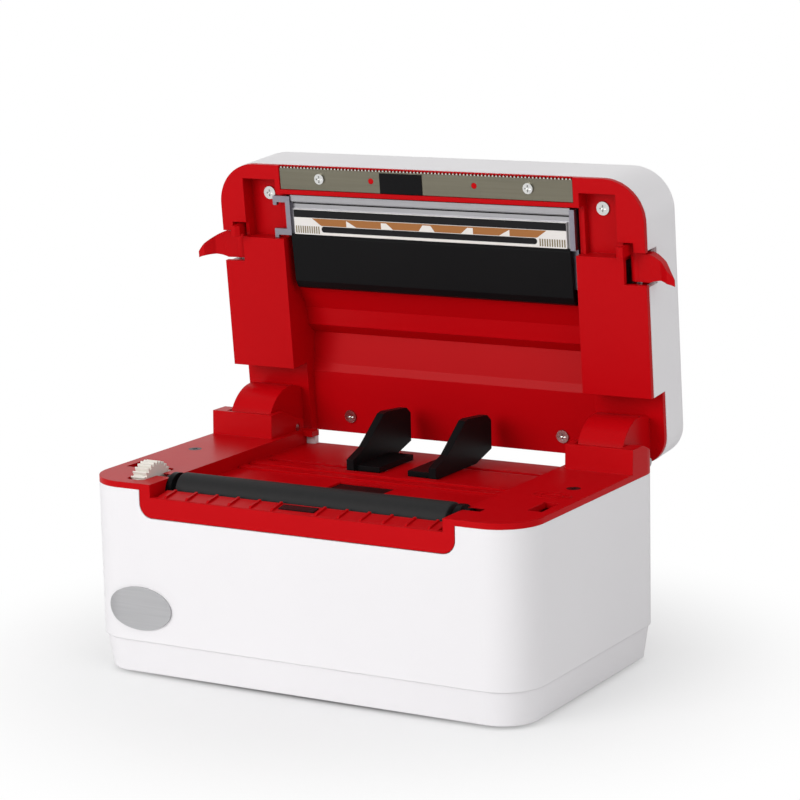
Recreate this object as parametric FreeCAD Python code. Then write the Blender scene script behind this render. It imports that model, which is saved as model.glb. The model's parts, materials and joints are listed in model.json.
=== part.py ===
"""Thermal label printer with its lid open: case, deck, platen drive, paper guides, lid and print head.

Frame: +X to the printer's right, +Y to its back, +Z up, origin on the table under the centre of the case.
The lid and all that rides on it are drawn closed, then turned open about the hinge.
Millimetres.
"""
import FreeCAD, Part
import math
import os

from FreeCAD import Vector

# Case
case_width = 180.0
half_width = case_width / 2
case_depth = 108.5
half_depth = case_depth / 2
case_height = 69.0
corner_radius = 16.0
rear_corner_radius = 11.0
wall = 2.4
foot_stand = 1.5
skirt_height = 12.5
skirt_top_inset = 0.7
skirt_foot_inset = 2.6

# Clearances
seat_gap = 0.25
slide_gap = 0.3
bore_gap = 0.05
swing_gap = 0.5

# Deck and tray
deck_thickness = 2.2
side_strip = 30.0
tray_half_width = half_width - side_strip
tray_wall = 2.0
tray_drop = 5.2
apron_half_width = tray_half_width + 4.5
apron_drop = 10.0
apron_corner = 5.0
lip_drop = 4.7
feed_slot_half_width = tray_half_width - 4.0
tower_inner_x = tray_half_width + 3.0
tower_front_y = half_depth - 23.25
tower_rise = 9.1
tower_ledge = 9.0
tower_rear_rise = 3.8

# Hinge
hinge_y = half_depth - 4.25
hinge_above_deck = 0.8
hinge_pin_radius = 1.6
hub_radius = 3.9
knuckle_radius = 16.5
knuckle_wall = 2.2
knuckle_inner_x = tower_inner_x + 3.0
knuckle_outer_x = half_width - 6.0
knuckle_start = 100.0
knuckle_end = 250.0
open_angle = 85.0

# Platen and its gear train
platen_y = 15.75 - half_depth
platen_below_deck = 4.7
platen_radius = 6.5
platen_half_length = tray_half_width - 4.3
shaft_radius = 3.0
bush_radius = 5.0
bush_flange_radius = 6.2
bush_flange = 2.2
drive_module = 0.6
platen_teeth = 30
idler_teeth = 48
pinion_teeth = 15
idler_direction = -56.0
pinion_direction = -26.0
gear_x = -tray_half_width - 10.5
gear_width = 6.0
idler_width = 5.0
stud_radius = 2.5
tooth_play = 0.07

# Motor
motor_size = 35.0
motor_length = 28.0
motor_shaft_radius = 2.0
bracket_thickness = 2.0
bracket_x = -tray_half_width - 2.5
bracket_foot = 18.0

# Paper guides
guide_rest_x = 17.5
guide_thickness = 3.0
guide_foot_inner_x = 6.0
guide_foot_height = 2.0
guide_rear_y = half_depth + 2.75
guide_front_y = guide_rear_y - 43.0
guide_height = 18.0
guide_pinion_y = guide_front_y + 15.0
guide_module = 0.8
guide_teeth = 15
guide_gear_height = 3.2
guide_reach = tray_half_width - 3.0
guide_slot_end = tray_half_width - 3.0

# Lid
lid_height = 32.0
lid_edge_radius = 8.0
rim_gap = 0.4
flange = 2.0
notch_front_y = half_depth - 28.25
notch_rise = 9.5
tub_half_width = tray_half_width + 2.3
roof_sheet = 2.0
head_roof_rise = 14.9
rear_roof_rise = 13.4
pocket_inner_x = tub_half_width + 2.2
pocket_outer_x = pocket_inner_x + 14.5
pocket_front_y = 5.75 - half_depth
pocket_rear_y = pocket_front_y + 23.0
pocket_depth = 6.4
pocket_sheet = 1.5
boss_x = pocket_inner_x + 6.5
boss_y = pocket_front_y + 6.5
rear_boss_x = tub_half_width - 16.0
rear_boss_y = half_depth - 6.75
post_radius = 3.6

# Tear bar
tear_half_length = tub_half_width - 0.3
tear_width = 8.8
tear_thickness = 0.9
tear_tooth_pitch = 1.5
tear_tooth_depth = 0.9
tear_screw_head_radius = 2.0
tear_screw_head = 0.7
tear_screw_x = tear_half_length - 17.7
tear_pin_x = 21.9
tear_pin_radius = 1.1

# Print head
head_half_length = tub_half_width - 2.8
head_front_y = platen_y - 3.8
head_rear_y = platen_y + 32.7
head_clear = 0.3
head_travel = 0.6
ceramic_half_length = head_half_length - 1.5
ceramic_thickness = 1.0
ceramic_front_y = platen_y + 1.5
ceramic_rear_y = platen_y + 11.1
heatsink_height = 7.4
hanger_thickness = 2.0
hanger_reach = 5.5

# Latches
latch_x = half_width - 5.5
latch_rise = 5.4
latch_pin_radius = 1.2
latch_hub_radius = 2.7
latch_front_y = 23.75 - half_depth
latch_hook_width = 4.0
latch_rear_y = latch_front_y + 14.0
latch_tip_x = half_width + 11.5
latch_hook = 1.6
latch_barb = 1.6
paddle_bow = 7.0
paddle_tip = 2.4

# Controls and board
button_x = tub_half_width - 17.3
button_y = 29.25 - half_depth
button_radius = 6.0
button_rise = 0.9
button_travel = 0.8
pipe_radius = 1.5
board_sheet = 1.6
board_z = 20.0
usb_x = half_width - 50.0
inlet_x = usb_x - 26.0
switch_x = 46.0 - half_width
switch_z = 32.0

# Screws
screw_radius = 1.25
screw_head_radius = 2.5
screw_head = 1.2
screw_length = 8.0
cross_reach = 1.3
cross_width = 0.6
cross_depth = 0.6

# Heights and places that follow
z_case_foot = foot_stand
z_case_top = foot_stand + case_height
z_deck = z_case_top + deck_thickness
z_tray = z_deck - tray_drop
z_hinge = z_deck + hinge_above_deck
z_platen = z_deck - platen_below_deck
z_rim = z_deck + rim_gap
z_lid_top = z_rim + lid_height
z_notch = z_rim + notch_rise
z_head_roof = z_rim + head_roof_rise
z_rear_roof = z_rim + rear_roof_rise
pocket_radius = knuckle_radius + swing_gap
X = Vector(1, 0, 0)
Y = Vector(0, 1, 0)
Z = Vector(0, 0, 1)
big = 4 * case_width


def box(x0, x1, y0, y1, z0, z1):
    return Part.makeBox(x1 - x0, y1 - y0, z1 - z0, Vector(x0, y0, z0))


def rod(axis, start, radius, length):
    return Part.makeCylinder(radius, length, start, axis)


def fuse(first, *others):
    return first.multiFuse(list(others)).removeSplitter()


def both_sides(shape):
    return [shape, shape.mirror(Vector(0, 0, 0), X)]


def profile_x(points, x0, x1):
    corners = [Vector(x0, y, z) for y, z in points]
    return Part.Face(Part.makePolygon(corners + corners[:1])).extrude(X * (x1 - x0))


def profile_y(points, y0, y1):
    corners = [Vector(x, y0, z) for x, z in points]
    return Part.Face(Part.makePolygon(corners + corners[:1])).extrude(Y * (y1 - y0))


def rounded_wire(half_x, half_y, front_radius, rear_radius, z):
    """Rectangle with round corners, as four lines and four arcs."""
    edges = []
    corners = [(1, 1, 0), (-1, 1, 90), (-1, -1, 180), (1, -1, 270)]
    arcs = []
    for sx, sy, turn in corners:
        radius = rear_radius if sy > 0 else front_radius
        centre = Vector(sx * (half_x - radius), sy * (half_y - radius), z)
        points = []
        for part_turn in (0, 45, 90):
            angle = math.radians(turn + part_turn)
            points.append(centre + Vector(math.cos(angle), math.sin(angle), 0) * radius)
        arcs.append(points)
    for index, points in enumerate(arcs):
        edges.append(Part.Arc(*points).toShape())
        edges.append(Part.makeLine(points[2], arcs[(index + 1) % 4][0]))
    return Part.Wire(edges)


def outline_wire(inset, z):
    return rounded_wire(
        half_width - inset, half_depth - inset, corner_radius - inset, rear_corner_radius - inset, z,
    )


def outline_prism(inset, z0, z1):
    return Part.Face(outline_wire(inset, z0)).extrude(Z * (z1 - z0))


def opened(shape):
    return shape.rotated(Vector(0, hinge_y, z_hinge), X, -open_angle)


def sector(radius, start, end, x0, x1):
    """Slice of a cylinder about the hinge line; angles run from +Y towards +Z."""
    centre = Vector(x0, hinge_y, z_hinge)
    rim = []
    for angle in (start, (start + end) / 2, end):
        turn = math.radians(angle)
        rim.append(centre + Vector(0, math.cos(turn), math.sin(turn)) * radius)
    edges = [Part.makeLine(centre, rim[0]), Part.Arc(*rim).toShape(), Part.makeLine(rim[2], centre)]
    return Part.Face(Part.Wire(edges)).extrude(X * (x1 - x0))


def involute_gear(teeth, module, width, bore, phase, play):
    """Spur gear about +Z at the origin with one tooth centred on the phase angle (degrees)."""
    pitch = module * teeth / 2
    base = pitch * math.cos(math.radians(20))
    tip = pitch + 0.9 * module
    root = pitch - 1.15 * module
    half_tooth = (math.pi * module / 2 - play) / 2 / pitch
    inv = math.tan(math.radians(20)) - math.radians(20)
    start = max(base, root)
    flank = []
    for step in range(4):
        radius = start + (tip - start) * step / 3
        slope = math.acos(min(1, base / radius))
        flank.append((radius, half_tooth + inv - (math.tan(slope) - slope)))
    points = []
    for tooth in range(teeth):
        middle = math.radians(phase) + 2 * math.pi * tooth / teeth
        sweep = [(root, -flank[0][1])] + [(r, -a) for r, a in flank]
        sweep += [(r, a) for r, a in reversed(flank)] + [(root, flank[0][1])]
        for radius, angle in sweep:
            points.append(
                Vector(radius * math.cos(middle + angle), radius * math.sin(middle + angle), 0),
            )
    gear = Part.Face(Part.makePolygon(points + points[:1])).extrude(Z * width)
    return gear.cut(rod(Z, Vector(0, 0, 0), bore, width))


def gear_on_x(gear, x, y, z):
    """Turn a gear about +Z to one about +X, its angles running from +Y towards +Z."""
    turned = gear.rotated(Vector(0, 0, 0), Vector(1, 1, 1), 120)
    return turned.translated(Vector(x, y, z))


def cross_recess(head_top, axis):
    """Driver cross sunk into a screw head whose outer face is at head_top."""
    foot = min(head_top.z, head_top.z + axis.z * cross_depth)
    arms = []
    for reach_x, reach_y in ((cross_reach, cross_width / 2), (cross_width / 2, cross_reach)):
        corner = Vector(head_top.x - reach_x, head_top.y - reach_y, foot)
        arms.append(Part.makeBox(2 * reach_x, 2 * reach_y, cross_depth, corner))
    return fuse(*arms)


def screw(head_top, axis, length):
    """Pan-headed screw; the head's outer face is at head_top and the shank runs along axis."""
    head = rod(axis, head_top, screw_head_radius, screw_head)
    return fuse(head, rod(axis, head_top, screw_radius, length)).cut(cross_recess(head_top, axis))


# White lower case: a skirt that tapers to the table, straight walls above, open top and bottom
z_skirt = z_case_foot + skirt_height
skirt_wires = [outline_wire(skirt_foot_inset, z_case_foot), outline_wire(skirt_top_inset, z_skirt)]
case_outer = fuse(Part.makeLoft(skirt_wires, True, True), outline_prism(0, z_skirt, z_case_top))
plate_inset = skirt_foot_inset + wall
case_inner = fuse(
    outline_prism(plate_inset, z_case_foot, z_case_top),
    outline_prism(wall, z_skirt + wall, z_case_top),
)
lower_case = case_outer.cut(case_inner)

plate_sheet = 2.5
z_plate = z_case_foot + plate_sheet
post_x = half_width - plate_inset - post_radius + 0.4
post_y = half_depth - 24.25
plate_screws = [(sx * post_x, sy * post_y) for sx in (1, -1) for sy in (1, -1)]
plate_post_height = 22.0
deck_post_x = half_width - 10.0
deck_post_y = 4.0
deck_post_depth = 24.0
for px, py in plate_screws:
    lower_case = lower_case.fuse(rod(Z, Vector(px, py, z_plate), post_radius, plate_post_height))
for side in (1, -1):
    post = rod(
        Z, Vector(side * deck_post_x, deck_post_y, z_case_top - deck_post_depth), post_radius,
        deck_post_depth,
    )
    rib_end = side * (half_width - wall / 2)
    rib_start = side * deck_post_x
    rib = box(
        min(rib_start, rib_end), max(rib_start, rib_end), deck_post_y - wall / 2,
        deck_post_y + wall / 2, z_case_top - deck_post_depth, z_case_top,
    )
    lower_case = lower_case.fuse(post).fuse(rib)
    bore = rod(
        Z, Vector(side * deck_post_x, deck_post_y, z_case_top - screw_length), screw_radius + bore_gap,
        screw_length,
    )
    lower_case = lower_case.cut(bore)
for px, py in plate_screws:
    lower_case = lower_case.cut(rod(Z, Vector(px, py, z_plate), screw_radius + bore_gap, screw_length))

z_apron = z_case_top - apron_drop
apron_cut_half = apron_half_width + seat_gap
apron_cut = box(
    -apron_cut_half, apron_cut_half, -half_depth - wall, -half_depth + 2 * wall, z_apron - seat_gap,
    z_case_top,
)
apron_edges = [e for e in apron_cut.Edges if abs(e.tangentAt(0).y) > 0.9 and e.CenterOfMass.z < z_apron]
apron_cut = apron_cut.makeFillet(apron_corner + seat_gap, apron_edges)
slot_cut = box(-feed_slot_half_width - seat_gap, feed_slot_half_width + seat_gap, half_depth - 2 * wall,
               half_depth + wall, z_tray - tray_wall - seat_gap, z_case_top)
lower_case = lower_case.cut(apron_cut).cut(slot_cut)

usb_width = 12.0
usb_height = 11.0
usb_depth = 16.0
inlet_width = 9.5
inlet_height = 11.0
inlet_depth = 14.0
inlet_barrel_radius = 3.2
inlet_pin_radius = 1.0
switch_width = 15.0
switch_height = 10.5
switch_depth = 12.0
z_port = board_z + board_sheet
port_face = half_depth - wall / 2


def rear_cut(x, width, z0, height):
    side = width / 2 + seat_gap
    return box(
        x - side, x + side, half_depth - 2 * wall, half_depth + wall, z0 - seat_gap,
        z0 + height + seat_gap,
    )


lower_case = lower_case.cut(rear_cut(usb_x, usb_width, z_port, usb_height))
lower_case = lower_case.cut(rear_cut(inlet_x, inlet_width, z_port, inlet_height))
lower_case = lower_case.cut(
    rear_cut(switch_x, switch_width, switch_z - switch_height / 2, switch_height),
)
lower_case = lower_case.removeSplitter()

# Base plate on rubber feet, with standoffs for the main board
foot_radius = 6.0
foot_seat = 0.5
foot_x = half_width - 24.0
foot_y = half_depth - 20.25
base_plate = outline_prism(plate_inset + seat_gap, z_case_foot, z_plate)
board_x0 = -22.0
board_x1 = half_width - 12.0
board_y1 = port_face - 2.5
board_y0 = board_y1 - 48.55
standoff_radius = 3.0
standoff_margin = 5.0
standoffs = [(x, y) for x in (board_x0 + standoff_margin, board_x1 - standoff_margin)
             for y in (board_y0 + standoff_margin, board_y1 - standoff_margin)]
for sx, sy in standoffs:
    base_plate = base_plate.fuse(rod(Z, Vector(sx, sy, z_plate), standoff_radius, board_z - z_plate))
feet = []
for fx in (-foot_x, foot_x):
    for fy in (-foot_y, foot_y):
        foot = rod(Z, Vector(fx, fy, 0), foot_radius, foot_stand + foot_seat)
        base_plate = base_plate.cut(foot)
        feet.append(
            foot.makeFillet(
                foot_seat,
                [foot.Edges[0] if foot.Edges[0].CenterOfMass.z < foot_seat else foot.Edges[2]],
            ),
        )
base_screws = []
for px, py in plate_screws:
    base_plate = base_plate.cut(
        rod(Z, Vector(px, py, z_case_foot), screw_head_radius + bore_gap, screw_head),
    )
    base_plate = base_plate.cut(
        rod(Z, Vector(px, py, z_case_foot), screw_radius + bore_gap, plate_sheet),
    )
    base_screws.append(screw(Vector(px, py, z_case_foot), Z, screw_length))
rubber_feet = Part.makeCompound(feet)

# Red deck: flat frame, tray with the roller trough, front apron and the two hinge towers
z_lip = z_deck - lip_drop
trough_front = platen_y - platen_radius - 2.3
trough_rear = platen_y + platen_radius + 0.8
z_trough = z_platen - platen_radius - 1.3
apron_back = -half_depth + wall
tray_profile = [
    (half_depth, z_tray), (trough_rear + 0.7, z_tray), (trough_rear, z_trough),
    (trough_front, z_trough), (trough_front, z_lip - 2.2), (apron_back + 0.6, z_lip - 0.2),
    (apron_back - wall / 2, z_lip - 0.2), (apron_back - wall / 2, z_lip - 2.6),
    (apron_back, z_lip - 2.6), (trough_front - tray_wall, z_lip - 3.6),
    (trough_front - tray_wall, z_trough - tray_wall), (trough_rear + tray_wall, z_trough - tray_wall),
    (trough_rear + tray_wall, z_tray - tray_wall), (half_depth, z_tray - tray_wall),
]
tray_outer = tray_half_width + tray_wall
tray = profile_x(tray_profile, -tray_outer, tray_outer)
tray = tray.cut(
    box(
        feed_slot_half_width, tray_outer + wall, half_depth - wall - seat_gap, half_depth + wall,
        z_trough, z_case_top,
    ),
)
tray = tray.cut(
    box(
        -tray_outer - wall, -feed_slot_half_width, half_depth - wall - seat_gap, half_depth + wall,
        z_trough, z_case_top,
    ),
)
deck_plate = outline_prism(0, z_case_top, z_deck)
rear_bar = 5.0
deck_plate = deck_plate.cut(
    box(-tray_half_width, tray_half_width, -half_depth - wall, half_depth - rear_bar, z_trough, z_deck),
)
deck_plate = deck_plate.cut(
    box(-feed_slot_half_width, feed_slot_half_width, 0, half_depth + wall, z_trough, z_deck),
)
cheek_rear = half_depth - wall - seat_gap
cheek = box(tray_half_width, tray_outer, apron_back, cheek_rear, z_trough - tray_wall, z_case_top)
apron = box(-apron_half_width, apron_half_width, -half_depth, apron_back, z_apron, z_lip)
low_edges = [e for e in apron.Edges if e.CenterOfMass.z < z_apron + seat_gap]
apron_edges = [e for e in low_edges if abs(e.tangentAt(0).y) > 0.9]
apron = apron.makeFillet(apron_corner, apron_edges)
apron_horn = box(
    tray_half_width, apron_half_width, -half_depth, apron_back, z_lip - deck_thickness, z_case_top,
)
deck_frame = fuse(tray, deck_plate, apron, *both_sides(cheek), *both_sides(apron_horn))

z_tower = z_deck + tower_rise
tower_profile = [
    (tower_front_y, z_case_top), (tower_front_y + 0.5, z_tower), (tower_front_y + tower_ledge, z_tower),
    (tower_front_y + 2 * tower_ledge, z_deck + tower_rear_rise + 1.5),
    (half_depth, z_deck + tower_rear_rise), (half_depth, z_case_top),
]
tower = profile_x(
    tower_profile, tower_inner_x, half_width,
).common(outline_prism(0, z_case_top, z_tower))
pocket_bottom = z_hinge - pocket_radius - tray_wall
tower_root = box(
    tower_inner_x, half_width, hinge_y - pocket_radius - tray_wall, half_depth, pocket_bottom,
    z_case_top,
)
tower_root = tower_root.common(outline_prism(wall + seat_gap, pocket_bottom, z_case_top))
knuckle_pocket = fuse(
    rod(
        X, Vector(knuckle_inner_x - swing_gap, hinge_y, z_hinge), pocket_radius,
        knuckle_outer_x - knuckle_inner_x + 2 * swing_gap,
    ),
    box(
        knuckle_inner_x - swing_gap, knuckle_outer_x + swing_gap, hinge_y - pocket_radius,
        half_depth + wall, z_hinge, z_tower + wall,
    ),
)
pin_bore = rod(
    X, Vector(tower_inner_x - wall, hinge_y, z_hinge), hinge_pin_radius + bore_gap, half_width,
)
for shape in both_sides(fuse(tower, tower_root)):
    deck_frame = deck_frame.fuse(shape)
for shape in both_sides(knuckle_pocket) + both_sides(pin_bore):
    deck_frame = deck_frame.cut(shape)

# Openings in the deck: platen bushes, gear window, latch slots, sensor, guide slots, screw seats
bush_reach = tray_outer + 2 * wall
bush_bore = rod(X, Vector(-bush_reach, platen_y, z_platen), bush_radius + bore_gap, 2 * bush_reach)
deck_frame = deck_frame.cut(
    bush_bore.cut(box(-tray_half_width, tray_half_width, -half_depth, half_depth, 0, z_deck)),
)
gear_window_margin = 0.9
gear_tip = drive_module * (platen_teeth / 2 + 0.9)
window_x0 = gear_x - gear_width / 2 - gear_window_margin
window_x1 = gear_x + gear_width / 2 + gear_window_margin
window_reach = gear_tip + 1.2
window_corner = 2.5
gear_window = box(
    window_x0, window_x1, platen_y - window_reach, platen_y + window_reach, z_case_top - wall, z_deck,
)
window_edges = [e for e in gear_window.Edges if abs(e.tangentAt(0).z) > 0.9]
gear_window = gear_window.makeFillet(window_corner, window_edges)
latch_slot = box(
    latch_x - 4.0, latch_x + 1.5, latch_front_y - 1.5, latch_front_y + 12.0, z_case_top - wall, z_deck,
)
deck_frame = deck_frame.cut(gear_window)
for shape in both_sides(latch_slot):
    deck_frame = deck_frame.cut(shape)
sensor_half_width = 12.0
sensor_front_y = platen_y + 17.5
sensor_rear_y = sensor_front_y + 19.0
deck_frame = deck_frame.cut(
    box(
        -sensor_half_width, sensor_half_width, sensor_front_y, sensor_rear_y, z_tray - 2 * tray_wall,
        z_tray,
    ),
)
guide_pitch = guide_module * guide_teeth / 2
rack_depth = 4.0
neck_width = 2.4
rack_line = guide_pitch + 1.15 * guide_module
neck_y = rack_line + rack_depth / 2
neck_inset = 2.0
guide_slot = box(
    guide_foot_inner_x, guide_slot_end, guide_pinion_y + neck_y - neck_width / 2 - slide_gap,
    guide_pinion_y + neck_y + neck_width / 2 + slide_gap, z_tray - 2 * tray_wall, z_tray,
)
deck_frame = deck_frame.cut(guide_slot)
deck_frame = deck_frame.cut(guide_slot.rotated(Vector(0, guide_pinion_y, 0), Z, 180))
stud_length = guide_gear_height + 2 * slide_gap
pinion_stud_radius = 2.0
pinion_stud = rod(
    Z * -1, Vector(0, guide_pinion_y, z_tray - tray_wall), pinion_stud_radius, stud_length + 1.0,
)
deck_frame = deck_frame.fuse(pinion_stud)
deck_screws = []
for side in (1, -1):
    seat = Vector(side * deck_post_x, deck_post_y, z_deck)
    deck_frame = deck_frame.cut(rod(Z * -1, seat, screw_head_radius + bore_gap, screw_head))
    deck_frame = deck_frame.cut(rod(Z * -1, seat, screw_radius + bore_gap, deck_thickness))
    deck_screws.append(screw(seat, Z * -1, screw_length))

# Slanted guide fins on the front ledge, and shallow runners on the tray floor
fin_count = 8
fin_pitch = 2 * tray_half_width / (fin_count + 1)
fin_width = 1.2
for index in range(fin_count):
    fin_x = -tray_half_width + fin_pitch * (index + 1)
    fin = profile_x(
        [
            (trough_front, z_lip - 2.4), (trough_front, z_lip - 0.8), (apron_back, z_lip),
            (apron_back, z_lip - 0.6),
        ],
        fin_x - fin_width / 2, fin_x + fin_width / 2,
    )
    deck_frame = deck_frame.fuse(fin)
deck_frame = deck_frame.removeSplitter()

hinge_pins = []
for side in (1, -1):
    inner = Vector(side * (tower_inner_x + slide_gap), hinge_y, z_hinge)
    hinge_pins.append(rod(X * side, inner, hinge_pin_radius, half_width - wall - tower_inner_x))

# Platen roller: steel shaft, rubber sleeve, gear and two bushes
shaft_left = gear_x - gear_width / 2 - 0.5
shaft_right = tray_outer + 2.0
platen_shaft = rod(X, Vector(shaft_left, platen_y, z_platen), shaft_radius, shaft_right - shaft_left)
platen_shaft = platen_shaft.makeChamfer(0.4, [platen_shaft.Edges[0], platen_shaft.Edges[2]])
platen_rubber = rod(
    X, Vector(-platen_half_length, platen_y, z_platen), platen_radius, 2 * platen_half_length,
)
rubber_ends = [e for e in platen_rubber.Edges if e.Curve.TypeId == "Part::GeomCircle"]
platen_rubber = platen_rubber.makeFillet(0.6, rubber_ends)
platen_rubber = platen_rubber.cut(
    rod(X, Vector(-platen_half_length, platen_y, z_platen), shaft_radius, 2 * platen_half_length),
)
bush = fuse(
    rod(X, Vector(tray_half_width - bush_flange, platen_y, z_platen), bush_flange_radius, bush_flange),
    rod(X, Vector(tray_half_width, platen_y, z_platen), bush_radius, tray_wall + 0.4),
)
bush = bush.cut(rod(X, Vector(0, platen_y, z_platen), shaft_radius + bore_gap, half_width))
platen_bushes = Part.makeCompound(both_sides(bush))

platen_gear = gear_on_x(
    involute_gear(platen_teeth, drive_module, gear_width, shaft_radius, idler_direction, tooth_play),
    gear_x - gear_width / 2, platen_y, z_platen,
)
idler_distance = drive_module * (platen_teeth + idler_teeth) / 2
idler_turn = math.radians(idler_direction)
idler_y = platen_y + idler_distance * math.cos(idler_turn)
idler_z = z_platen + idler_distance * math.sin(idler_turn)
idler_phase = idler_direction + 180 + 180 / idler_teeth
idler_gear = involute_gear(
    idler_teeth, drive_module, idler_width, stud_radius + bore_gap, idler_phase, tooth_play,
)
rim_web = 1.4
web_outer = drive_module * (idler_teeth / 2 - 1.15) - 1.6
web_inner = stud_radius + 2.2
for web_z in (0, idler_width - rim_web):
    web = rod(Z, Vector(0, 0, web_z), web_outer, rim_web).cut(
        rod(Z, Vector(0, 0, web_z), web_inner, rim_web),
    )
    idler_gear = idler_gear.cut(web)
idler_gear = gear_on_x(idler_gear, gear_x - idler_width / 2, idler_y, idler_z)
pinion_distance = drive_module * (idler_teeth + pinion_teeth) / 2
pinion_turn = math.radians(pinion_direction)
pinion_y = idler_y + pinion_distance * math.cos(pinion_turn)
pinion_z = idler_z + pinion_distance * math.sin(pinion_turn)
pinion_phase = pinion_direction + 180 + (180 - (idler_phase - pinion_direction) * idler_teeth) / pinion_teeth
motor_pinion = gear_on_x(
    involute_gear(pinion_teeth, drive_module, gear_width, motor_shaft_radius, pinion_phase, tooth_play),
    gear_x - gear_width / 2, pinion_y, pinion_z,
)

# Motor on its bracket, with the idler's stud
motor_back = bracket_x + bracket_thickness
half_motor = motor_size / 2
drive_motor = box(motor_back, motor_back + motor_length, pinion_y - half_motor, pinion_y + half_motor,
                  pinion_z - half_motor, pinion_z + half_motor)
motor_edges = [e for e in drive_motor.Edges if abs(e.tangentAt(0).x) > 0.9]
drive_motor = drive_motor.makeChamfer(4.0, motor_edges)
boss_radius = 8.0
motor_boss = rod(X, Vector(bracket_x, pinion_y, pinion_z), boss_radius, bracket_thickness)
motor_bore = rod(
    X, Vector(bracket_x - wall, pinion_y, pinion_z), motor_shaft_radius + bore_gap, motor_length,
)
drive_motor = drive_motor.fuse(motor_boss).cut(motor_bore).removeSplitter()
motor_shaft_start = gear_x - gear_width / 2 - 0.5
motor_shaft = rod(
    X, Vector(motor_shaft_start, pinion_y, pinion_z), motor_shaft_radius,
    bracket_x + motor_length - wall - motor_shaft_start,
)
bracket_front = idler_y - 9.0
bracket_rear = pinion_y + half_motor
bracket_top = idler_z + 9.0
bracket_profile = [
    (bracket_front, z_plate), (bracket_rear, z_plate), (bracket_rear, pinion_z + half_motor),
    (pinion_y, bracket_top), (bracket_front, bracket_top),
]
motor_bracket = profile_x(bracket_profile, bracket_x, bracket_x + bracket_thickness)
bracket_foot_plate = box(
    bracket_x, bracket_x + bracket_foot, bracket_front, bracket_rear, z_plate,
    z_plate + bracket_thickness,
)
motor_bracket = fuse(motor_bracket, bracket_foot_plate)
motor_bracket = motor_bracket.cut(
    rod(X, Vector(bracket_x - wall, pinion_y, pinion_z), boss_radius + bore_gap, 2 * wall),
)
motor_bracket = motor_bracket.cut(
    rod(X, Vector(bracket_x - wall, idler_y, idler_z), stud_radius + bore_gap, 3 * wall),
)
stud_left = gear_x - idler_width / 2 - 1.6
idler_stud = rod(
    X, Vector(stud_left, idler_y, idler_z), stud_radius, bracket_x + bracket_thickness - stud_left,
)
stud_cap = rod(X, Vector(stud_left, idler_y, idler_z), stud_radius + 1.2, 1.6 - slide_gap)
stud_collar = rod(X, Vector(gear_x + idler_width / 2 + slide_gap, idler_y, idler_z), stud_radius + 1.2,
                  bracket_x - gear_x - idler_width / 2 - slide_gap)
idler_stud = fuse(idler_stud, stud_cap, stud_collar)
motor_screw_reach = 13.0
motor_screws = []
for sy in (1, -1):
    place = Vector(bracket_x, pinion_y + sy * motor_screw_reach, pinion_z + sy * motor_screw_reach)
    shank = rod(X, place, screw_radius, bracket_thickness + 4.0)
    motor_screws.append(fuse(rod(X * -1, place, screw_head_radius, screw_head), shank))
    hole = rod(X, place - X * wall, screw_radius + bore_gap, 3 * wall + 2.0)
    motor_bracket = motor_bracket.cut(hole)
    drive_motor = drive_motor.cut(hole)

# Paper guides: L-shaped fences on feet, each with a rack that meets one pinion under the tray
def rack(length, phase):
    """Straight rack along +X whose tooth tips point to -Y and whose pitch line is y = 0."""
    pitch = math.pi * guide_module
    half = pitch / 4 - tooth_play / 2
    lean = math.tan(math.radians(20))
    tip = 0.9 * guide_module
    root = 1.15 * guide_module
    points = [Vector(0, root + rack_depth, 0), Vector(0, root, 0)]
    count = int((length - 2 * pitch) / pitch)
    for index in range(count):
        middle = phase + pitch * (index + 1)
        points.append(Vector(middle - half - root * lean, root, 0))
        points.append(Vector(middle - half + tip * lean, -tip, 0))
        points.append(Vector(middle + half - tip * lean, -tip, 0))
        points.append(Vector(middle + half + root * lean, root, 0))
    points += [Vector(length, root, 0), Vector(length, root + rack_depth, 0)]
    return Part.Face(Part.makePolygon(points + points[:1])).extrude(Z * guide_gear_height)


z_rack = z_tray - tray_wall - slide_gap - guide_gear_height
z_guide = z_tray + slide_gap
fence_profile = [
    (guide_front_y, z_guide), (guide_front_y, z_guide + 4.2), (guide_front_y + 9.0, z_guide + 7.4),
    (guide_front_y + 16.0, z_guide + 12.4), (guide_front_y + 23.0, z_guide + guide_height - 0.4),
    (guide_front_y + 26.0, z_guide + guide_height), (guide_rear_y - 3.0, z_guide + guide_height - 1.2),
    (guide_rear_y, z_guide + guide_height - 3.6), (guide_rear_y, z_guide + 3.4),
    (guide_rear_y - 12.0, z_guide),
]


def paper_guide(tooth_offset):
    """The right-hand guide at rest."""
    fence = profile_x(
        fence_profile, guide_rest_x - guide_thickness / 2, guide_rest_x + guide_thickness / 2,
    )
    foot = box(
        guide_foot_inner_x, guide_rest_x, guide_front_y + 2.0, guide_rear_y - 16.0, z_guide,
        z_guide + guide_foot_height,
    )
    neck_y0 = guide_pinion_y + neck_y - neck_width / 2
    neck = box(
        guide_rest_x - neck_inset - 6.0, guide_rest_x - neck_inset, neck_y0, neck_y0 + neck_width,
        z_rack + guide_gear_height / 2, z_guide + guide_foot_height / 2,
    )
    bar_start = guide_rest_x - guide_reach
    pitch = math.pi * guide_module
    first = (tooth_offset - bar_start) % pitch
    bar = rack(guide_reach, first).translated(Vector(bar_start, guide_pinion_y + guide_pitch, z_rack))
    return fuse(fence, foot, neck, bar)


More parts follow.
